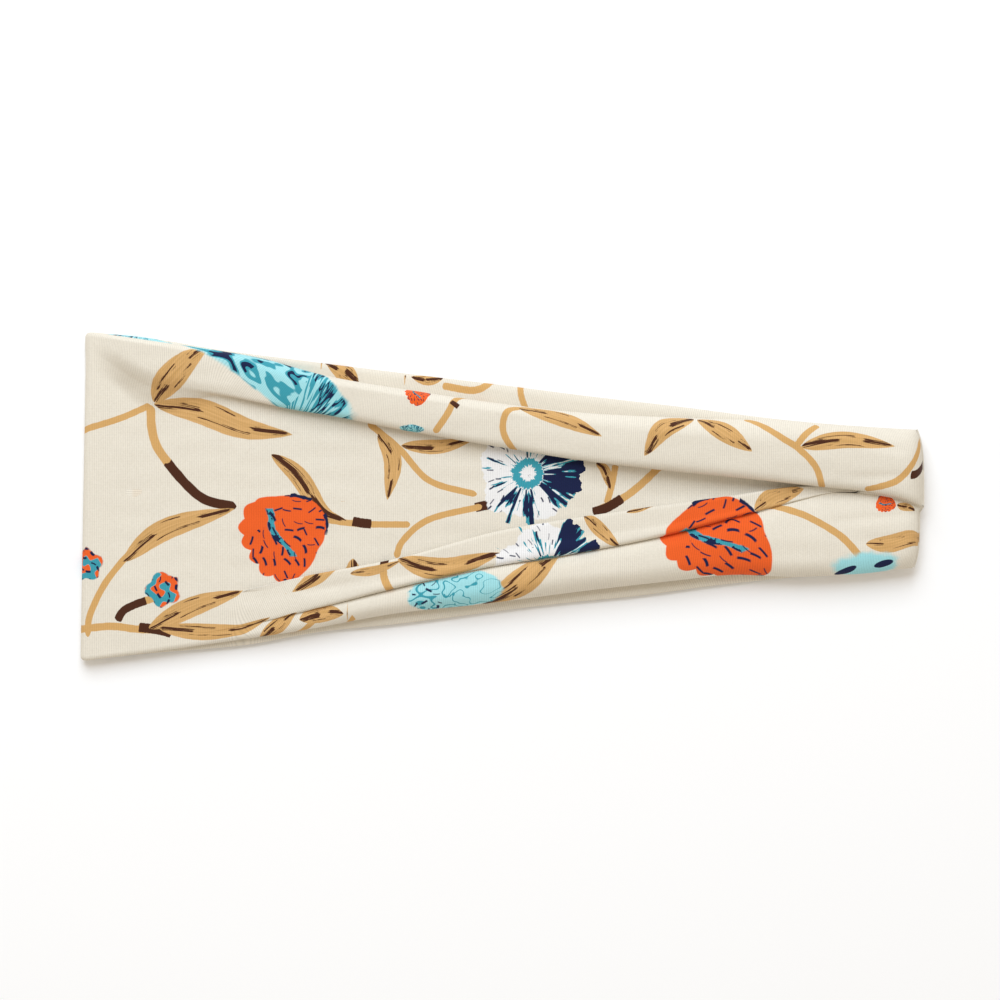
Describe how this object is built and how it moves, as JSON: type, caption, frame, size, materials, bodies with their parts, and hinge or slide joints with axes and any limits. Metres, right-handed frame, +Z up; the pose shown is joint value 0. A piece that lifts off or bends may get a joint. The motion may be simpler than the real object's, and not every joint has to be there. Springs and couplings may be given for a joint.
{
  "type": "wide jersey headband",
  "caption": "Wide printed jersey headband, a soft tube sewn into a loop that lies flat, smooth at the crown and gathered in pleats to a narrow nape; its upper half lifts to open the loop.",
  "frame": {"origin": "on the surface that the band lies on, under the middle of its length and width", "axes": "+X from the crown fold to the nape seam, +Y across the band, +Z up"},
  "size_m": [0.24, 0.0935, 0.0104],
  "materials": {
    "printed_jersey": "soft single jersey with a floral print on cream, matt",
    "jersey_reverse": "reverse of the knit, matt, the print showing through faintly",
    "overlock_thread": "spun polyester thread, slight sheen"
  },
  "bodies": {
    "root": {"lower_outer_ply": "printed_jersey", "lower_top_pleat": "jersey_reverse", "lower_low_pleat": "jersey_reverse", "lower_inner_ply": "printed_jersey", "lower_tube_seam": "jersey_reverse", "lower_tube_thread": "overlock_thread", "crown_fold_outer": "printed_jersey", "crown_fold_inner": "printed_jersey", "lower_nape_end": "printed_jersey", "upper_nape_end": "printed_jersey", "nape_seam_allowance": "jersey_reverse", "nape_seam_thread": "overlock_thread"},
    "upper_half": {"upper_inner_ply": "printed_jersey", "upper_tube_seam": "jersey_reverse", "upper_tube_thread": "overlock_thread", "upper_centre_ply": "printed_jersey", "upper_top_pleat": "printed_jersey", "upper_mid_pleat": "printed_jersey", "upper_low_pleat": "printed_jersey"}
  },
  "joints": [
    {"name": "loop_open", "type": "slide", "parent": "root", "child": "upper_half", "axis": [0, 0, 1], "range_m": [0, 0.05]}
  ]
}
